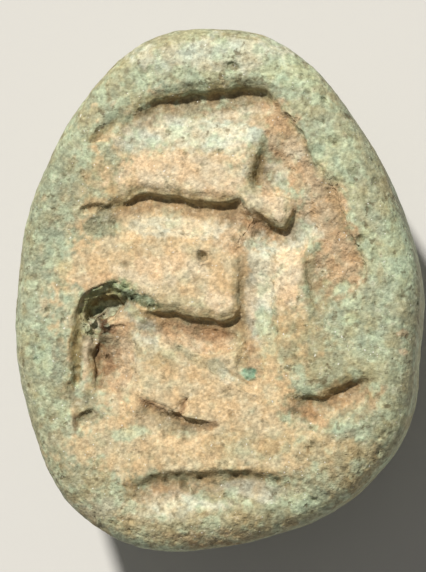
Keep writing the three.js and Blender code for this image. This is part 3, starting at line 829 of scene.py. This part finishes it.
def in_bore(points, sizes):
    """How far inside the bore each point lies, from 0 to 1."""
    height = sizes.thickness / MM / 2
    mouth = sizes.mouth_diameter / MM / 2
    from_axis = np.hypot(points[:, 0], points[:, 2] - height)
    return ease((mouth - from_axis) / BORE_FADE)


# Broad patches of the glaze: a pigment, its share, and the noise that it follows by a wavelength
# in millimetres, a layer, a contrast and a level
GLAZE_PATCHES = [("olive", 0.45, 2.4, 53, 1.3, 0.3), ("mint", 0.3, 1.5, 51, 1.4, 0.35)]

# How strongly the painted shade on the shoulders, the soil and painted shade at the foot of the cuts,
# and the darkening of the listed hollows and of the bore show, and how bare a glazed area is
SHOULDER_SHADE_SHOWS = 0.65
FOOT_SOIL_AND_SHADE_SHOWS = 0.55
PIT_DARKENING_SHOWS = 0.7
BORE_DARKENING_SHOWS = 0.75
GLAZED_BARENESS = 0.3


def towards(tone, pigment_there, share):
    """The step from each tone towards a pigment, by a share of the way."""
    return share[:, None] * (np.array(pigment_there) - tone)


def paint(mesh, sizes, colours):
    """Stores the pigment at each corner, and how bare, how darkened in the hollows and how rough it is
    there.
    """
    points = coordinates(mesh.vertices) / MM
    tone = np.tile(np.array(colours.glaze), (len(points), 1))
    for finish, share, wavelength, layer, contrast, level in GLAZE_PATCHES:
        patch = ease(wander(points, wavelength, layer) * contrast + level)
        tone += towards(tone, getattr(colours, finish), share * patch)
    bare = np.zeros(len(points))
    rough = np.zeros(len(points))
    for area, cover in zip(AREAS, face_covers(points, sizes)):
        tone += towards(tone, getattr(colours, area.finish), cover)
        bare += cover * ((1 if area.finish in BARE else GLAZED_BARENESS) - bare)
        rough += cover * ((1 if area.finish in ROUGHNESS else 0) - rough)
    pit_darkening = seen_pits(points, sizes)
    foot, shoulder = soil(points[:, :2], sizes) * (points[:, 2] > girth_height(sizes))
    # Painted shade on the worn shoulders, and soil with painted shade at the foot of the cuts; neither
    # ever lightens what it lies on
    tone += np.minimum(0, towards(tone, colours.dull_olive, SHOULDER_SHADE_SHOWS * shoulder))
    tone += np.minimum(0, towards(tone, colours.soil, FOOT_SOIL_AND_SHADE_SHOWS * foot))
    # Darker in the listed hollows and inside the bore
    tone += towards(tone, colours.dirt, PIT_DARKENING_SHOWS * pit_darkening)
    tone += towards(tone, colours.dirt, BORE_DARKENING_SHOWS * in_bore(points, sizes))
    full = np.ones(len(points))
    for name, marks in (("pigment", [*tone.T, full]), ("wear", [bare, pit_darkening, rough, full])):
        stored = mesh.color_attributes.new(name, "FLOAT_COLOR", "POINT")
        stored.data.foreach_set("color", np.column_stack(marks).ravel())


class Graph:
    """A material's nodes, with short calls for those that the finish needs."""

    def __init__(self, material):
        material.use_nodes = True
        self.tree = material.node_tree
        self.tree.nodes.clear()

    def node(self, kind, inputs, **settings):
        """A new node, with a value or another node's output for each named input."""
        made = self.tree.nodes.new(kind)
        for key, value in settings.items():
            setattr(made, key, value)
        for key, value in inputs.items():
            if isinstance(value, bpy.types.NodeSocket):
                self.tree.links.new(value, made.inputs[key])
            else:
                made.inputs[key].default_value = value
        return made.outputs

    def speckle(self, places, per_mm, layer, detail):
        """Smooth noise from 0 to 1, with a number of swells to the millimetre."""
        sockets = {"Vector": places, "Scale": per_mm, "W": layer, "Detail": detail}
        return self.node("ShaderNodeTexNoise", sockets, noise_dimensions="4D")["Fac"]

    def parts(self, colour):
        """The red, green and blue of a colour."""
        return self.node("ShaderNodeSeparateColor", {"Color": colour})

    def stored(self, name):
        """The colour that the mesh has stored under a name."""
        return self.node("ShaderNodeAttribute", {}, attribute_name=name)["Color"]

    def grains(self, places, per_mm):
        """Rounded cells: the distance from each one's middle, and a chance value for it."""
        cells = self.node("ShaderNodeTexVoronoi", {"Vector": places, "Scale": per_mm}, feature="F1")
        return cells["Distance"], self.parts(cells["Color"])["Red"]

    def bent(self, places, per_mm, reach):
        """Places shifted by smooth noise, which breaks up even shapes."""
        waves = self.node("ShaderNodeTexNoise", {"Vector": places, "Scale": per_mm})["Color"]
        sockets = {0: waves, 1: (reach, reach, reach), 2: places}
        return self.node("ShaderNodeVectorMath", sockets, operation="MULTIPLY_ADD")["Vector"]

    def between(self, value, low, high, to_low=0.0, to_high=1.0):
        """An easy rise from one value to another while a third goes from low to high."""
        sockets = {"Value": value, "From Min": low, "From Max": high,
                   "To Min": to_low, "To Max": to_high}
        return self.node("ShaderNodeMapRange", sockets, interpolation_type="SMOOTHSTEP")["Result"]

    def maths(self, operation, first, second):
        return self.node("ShaderNodeMath", {0: first, 1: second}, operation=operation)[0]

    def times(self, first, second):
        return self.maths("MULTIPLY", first, second)

    def blend(self, share, first, second, mode="MIX"):
        """A mix of two colours by a share."""
        sockets = {"Factor": share, 6: first, 7: second}
        return self.node("ShaderNodeMix", sockets, data_type="RGBA", blend_type=mode)[2]

    def tinted(self, tone, tint):
        return self.blend(1.0, tone, tint, "MULTIPLY")

    def surface(self, **inputs):
        """Ends the graph with the surface's own node."""
        named = {name.replace("_", " "): value for name, value in inputs.items()}
        shader = self.node("ShaderNodeBsdfPrincipled", named)
        self.node("ShaderNodeOutputMaterial", {"Surface": shader["BSDF"]})


def rgba(colour):
    """A colour with full cover, as a colour socket takes it."""
    return (*colour, 1.0)


# Marks of the finish: their grains to the millimetre, their layer of noise and its detail, the
# noise values between which they show, and how strongly they do on the glaze and on the core
Mark = namedtuple("Mark", "per_mm layer detail low high on_glaze on_core")
MOTTLE = Mark(1.3, 1.0, 5.0, 0.38, 0.62, 1.0, 1.0)
RUST = Mark(2.2, 11.0, 3.0, 0.48, 0.66, 0.6, 0.45)
GREEN = Mark(1.8, 13.0, 3.0, 0.5, 0.66, 0.6, 0.22)
DARK_GRAIN = Mark(4.6, 8.0, 3.0, 0.54, 0.7, 0.5, 0.25)
CRYSTAL_GLINT = Mark(9.0, 17.0, 1.0, 0.71, 0.76, 0.7, 0.7)

# Noises by their grains to the millimetre, their layer and their detail
SOFT_GRAIN = (4.0, 2.0, 4.0)
FINE_GRAIN = (9.5, 19.0, 1.0)
BLOTCHES = (3.0, 3.0, 4.0)
BLOTCH_EDGES = (0.9, 5.0, 1.0)
RELIEF_GRAIN = (7.0, 7.0, 3.0)

# Sand grains: how many there are to the millimetre, and the noise that bends them out of line, by
# its swells to the millimetre and its reach in millimetres
CELLS_PER_MM = 8.5
CELL_BEND = (4.0, 0.1)

# The values of a noise between which something rises, and from what to what
CELL_LIGHT = (0.0, 1.0, 0.43, 0.57)
SOFT_LIGHT = (0.25, 0.75, 0.28, 0.72)
FINE_LIGHT = (0.25, 0.75, 0.8, 1.2)
PALE_GRAIN_RISE = (0.56, 0.7)
PORE_EDGE = (0.35, 0.65, 0.66, 0.56)
PORE_RISE = (0.0, 0.1)

# What the mottling and the soil do to a tone, and the colour of a bright crystal, which is also a
# painted glint
WARM_TINT = (1.05, 0.985, 0.9, 1)
COOL_TINT = (0.95, 1.015, 1.04, 1)
RUST_TINT = (0.9, 0.81, 0.7, 1)
CRYSTAL_GLINT_COLOUR = (0.76, 0.75, 0.7, 1)

# How much a pale grain shows, and how strongly a pore does on the glaze and on the core
PALE_GRAIN_SHOWS = 0.22
PORE_SHOWS = (0.7, 0.4)

# The fine relief's full height in millimetres, what makes it up, and its strength on smooth and
# on rough areas
RELIEF_HEIGHT = 0.06
GRAIN_RELIEF, CELL_RELIEF, PORE_RELIEF = 1.3, 0.35, 0.4
RELIEF_STRENGTH = (0.6, 1.0)

# How dull the glaze and the core are, and how little they shine
DULLNESS = (0.62, 0.85)
SHINE = 0.35


def worn_faience(colours):
    """The finish: pigment broken into sand grains, dirt in the pores, and a dry grainy skin."""
    material = bpy.data.materials.new("worn faience")
    graph = Graph(material)
    sockets = {"Vector": graph.node("ShaderNodeTexCoord", {})["Object"], "Scale": [1 / MM] * 3}
    places = graph.node("ShaderNodeMapping", sockets)["Vector"]
    pigments = graph.stored("pigment")
    wear = graph.parts(graph.stored("wear"))
    bare, rough = wear["Red"], wear["Blue"]

    def by_wear(state, least, most):
        return graph.between(state, 0.0, 1.0, least, most)

    def shown(mark):
        speckle = graph.speckle(places, mark.per_mm, mark.layer, mark.detail)
        share = graph.between(speckle, mark.low, mark.high)
        return graph.times(share, by_wear(bare, mark.on_glaze, mark.on_core))

    # Broad mottling between a cooler and a warmer tone, then patches a few grains wide
    cool, warm = graph.tinted(pigments, COOL_TINT), graph.tinted(pigments, WARM_TINT)
    tone = graph.blend(shown(MOTTLE), cool, warm)
    tone = graph.blend(shown(RUST), tone, graph.tinted(tone, RUST_TINT))
    tone = graph.blend(shown(GREEN), tone, rgba(colours.mint))

    # Sand grains, each of its own brightness, over a softer unevenness
    grain_away, chance = graph.grains(graph.bent(places, *CELL_BEND), CELLS_PER_MM)
    soft, fine = graph.speckle(places, *SOFT_GRAIN), graph.speckle(places, *FINE_GRAIN)
    light = graph.maths("ADD", graph.between(chance, *CELL_LIGHT), graph.between(soft, *SOFT_LIGHT))
    tone = graph.tinted(tone, graph.times(light, graph.between(fine, *FINE_LIGHT)))
    pale_grain = graph.times(graph.between(soft, *PALE_GRAIN_RISE), PALE_GRAIN_SHOWS)
    tone = graph.blend(pale_grain, tone, rgba(colours.cream))
    tone = graph.blend(shown(DARK_GRAIN), tone, rgba(colours.dirt))

    # Dirt in irregular pores, thickest on the glaze, and a few bright crystals that are also painted
    # glints
    edge = graph.between(graph.speckle(places, *BLOTCH_EDGES), *PORE_EDGE)
    over_edge = graph.maths("SUBTRACT", graph.speckle(places, *BLOTCHES), edge)
    pore = graph.between(over_edge, *PORE_RISE)
    tone = graph.blend(graph.times(pore, by_wear(bare, *PORE_SHOWS)), tone, rgba(colours.dirt))
    tone = graph.blend(shown(CRYSTAL_GLINT), tone, CRYSTAL_GLINT_COLOUR)

    height = graph.times(graph.speckle(places, *RELIEF_GRAIN), GRAIN_RELIEF)
    for hollow, share in ((grain_away, CELL_RELIEF), (pore, PORE_RELIEF)):
        height = graph.maths("SUBTRACT", height, graph.times(hollow, share))
    relief = graph.node("ShaderNodeBump", {
        "Height": height, "Distance": RELIEF_HEIGHT * MM,
        "Strength": by_wear(rough, *RELIEF_STRENGTH),
    })
    graph.surface(Base_Color=tone, Roughness=by_wear(bare, *DULLNESS),
                  Specular_IOR_Level=SHINE, Normal=relief["Normal"])
    return material


def plain_matte(name, colour, roughness):
    """A plain matte finish for the floor."""
    material = bpy.data.materials.new(name)
    Graph(material).surface(Base_Color=rgba(colour), Roughness=roughness)
    return material


def linked_object(scene, bm, name, material):
    """A new object of the scene with the mesh's faces and one material."""
    mesh = bpy.data.meshes.new(name)
    bm.to_mesh(mesh)
    bm.free()
    mesh.materials.append(material)
    made = bpy.data.objects.new(name, mesh)
    scene.collection.objects.link(made)
    return made


class SCARABOID_OT_bead(bpy.types.Operator):
    """Build the carved, bored and weathered bead"""

    bl_idname = "scaraboid.bead"
    bl_label = "Build Bead"

    def execute(self, context):
        sizes, colours = context.scene.bead_sizes, context.scene.bead_colours
        bm = blank_ball(sizes)
        drill_bore(bm, sizes)
        bmesh.ops.recalc_face_normals(bm, faces=bm.faces)
        weather(bm, sizes)
        bmesh.ops.triangulate(bm, faces=bm.faces)
        bmesh.ops.scale(bm, vec=(MM, MM, MM), verts=bm.verts)
        bead = linked_object(context.scene, bm, "carved_bead", worn_faience(colours))
        bead.data.shade_smooth()
        paint(bead.data, sizes, colours)
        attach(bead, "root")
        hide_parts("scaraboid")
        return {"FINISHED"}


# The floor's side in metres and its roughness, the camera's sensor in millimetres, and the share
# of the camera's distance within which nothing is drawn
FLOOR_SIZE = 8.0
FLOOR_ROUGHNESS = 0.9
SENSOR_SIZE = 36
NEAREST_DRAWN = 1 / 20


class SCARABOID_OT_stage(bpy.types.Operator):
    """Lay the floor, hang the lights and place the camera"""

    bl_idname = "scaraboid.stage"
    bl_label = "Set Stage"

    def execute(self, context):
        scene, stage = context.scene, context.scene.bead_stage
        self.lay_floor(scene, stage)
        self.hang_lights(scene, stage)
        self.place_camera(scene, stage)
        scene.view_settings.view_transform = "Standard"
        return {"FINISHED"}

    def lay_floor(self, scene, stage):
        bm = bmesh.new()
        bmesh.ops.create_grid(bm, x_segments=1, y_segments=1, size=FLOOR_SIZE / 2)
        finish = plain_matte("pale floor", stage.floor_colour, FLOOR_ROUGHNESS)
        floor = linked_object(scene, bm, "floor", finish)

    def hang_lights(self, scene, stage):
        key_data = bpy.data.lights.new("key", "SUN")
        key_data.energy = stage.key_strength
        key_data.angle = stage.key_spread
        key_data.color = stage.key_colour
        key = bpy.data.objects.new("key", key_data)
        flat = math.cos(stage.key_elevation)
        to_light = Vector((
            math.cos(stage.key_azimuth) * flat,
            math.sin(stage.key_azimuth) * flat,
            math.sin(stage.key_elevation),
        ))
        key.rotation_mode = "QUATERNION"
        key.rotation_quaternion = to_light.to_track_quat("Z", "Y")
        scene.collection.objects.link(key)
        world = bpy.data.worlds.new("soft studio")
        world.use_nodes = True
        background = world.node_tree.nodes["Background"]
        background.inputs["Color"].default_value = rgba(stage.sky_colour)
        background.inputs["Strength"].default_value = stage.sky_strength
        scene.world = world

    def place_camera(self, scene, stage):
        camera_data = bpy.data.cameras.new("camera")
        camera = bpy.data.objects.new("camera", camera_data)
        back = Vector((math.tan(stage.lean_right), -math.tan(stage.lean_down), 1)).normalized()
        right = Vector((0, 1, 0)).cross(back).normalized()
        turn = Matrix((right, back.cross(right), back)).transposed().to_quaternion()
        # The lean shortens the width, along which the photograph's scale is read
        scale = PX_PER_MM / math.cos(stage.lean_right) / MM
        girth = BEAD_HIGH.z - scene.bead_sizes.lip_drop
        aside = (PHOTO_SIZE[0] / 2 - OUTLINE_MIDDLE_PX[0]) / scale
        below = (OUTLINE_MIDDLE_PX[1] - PHOTO_SIZE[1] / 2) / scale
        aim = Vector((0, 0, girth)) + turn @ Vector((aside, below, 0))
        camera.rotation_mode = "QUATERNION"
        camera.rotation_quaternion = turn
        camera.location = aim + back * stage.camera_distance
        camera_data.sensor_width = SENSOR_SIZE
        camera_data.lens = SENSOR_SIZE * stage.camera_distance / (max(PHOTO_SIZE) / scale)
        camera_data.clip_start = stage.camera_distance * NEAREST_DRAWN
        camera_data.clip_end = FLOOR_SIZE * 2
        scene.collection.objects.link(camera)
        scene.camera = camera


class SCARABOID_PT_panel(bpy.types.Panel):
    """Sizes, colours and steps of the scaraboid"""

    bl_label = "Scaraboid"
    bl_idname = "SCARABOID_PT_panel"
    bl_space_type = "VIEW_3D"
    bl_region_type = "UI"
    bl_category = "Scaraboid"

    def draw(self, context):
        for settings, operator in STEPS:
            box = self.layout.box()
            for name in settings:
                group = getattr(context.scene, name)
                for key in group.__annotations__:
                    box.prop(group, key)
            box.operator(operator.bl_idname)


STEPS = [
    (("bead_sizes", "bead_colours"), SCARABOID_OT_bead),
    (("bead_stage",), SCARABOID_OT_stage),
]
SETTINGS = {"bead_sizes": BeadSizes, "bead_colours": BeadColours, "bead_stage": StageSettings}
CLASSES = [*SETTINGS.values(), SCARABOID_OT_bead, SCARABOID_OT_stage, SCARABOID_PT_panel]


def register():
    for cls in CLASSES:
        bpy.utils.register_class(cls)
    for name, group in SETTINGS.items():
        setattr(bpy.types.Scene, name, bpy.props.PointerProperty(type=group))


def unregister():
    for name in SETTINGS:
        delattr(bpy.types.Scene, name)
    for cls in reversed(CLASSES):
        bpy.utils.unregister_class(cls)


def main():
    register()
    bpy.ops.scaraboid.stage()
    bpy.ops.scaraboid.bead()


if __name__ == "__main__":
    main()
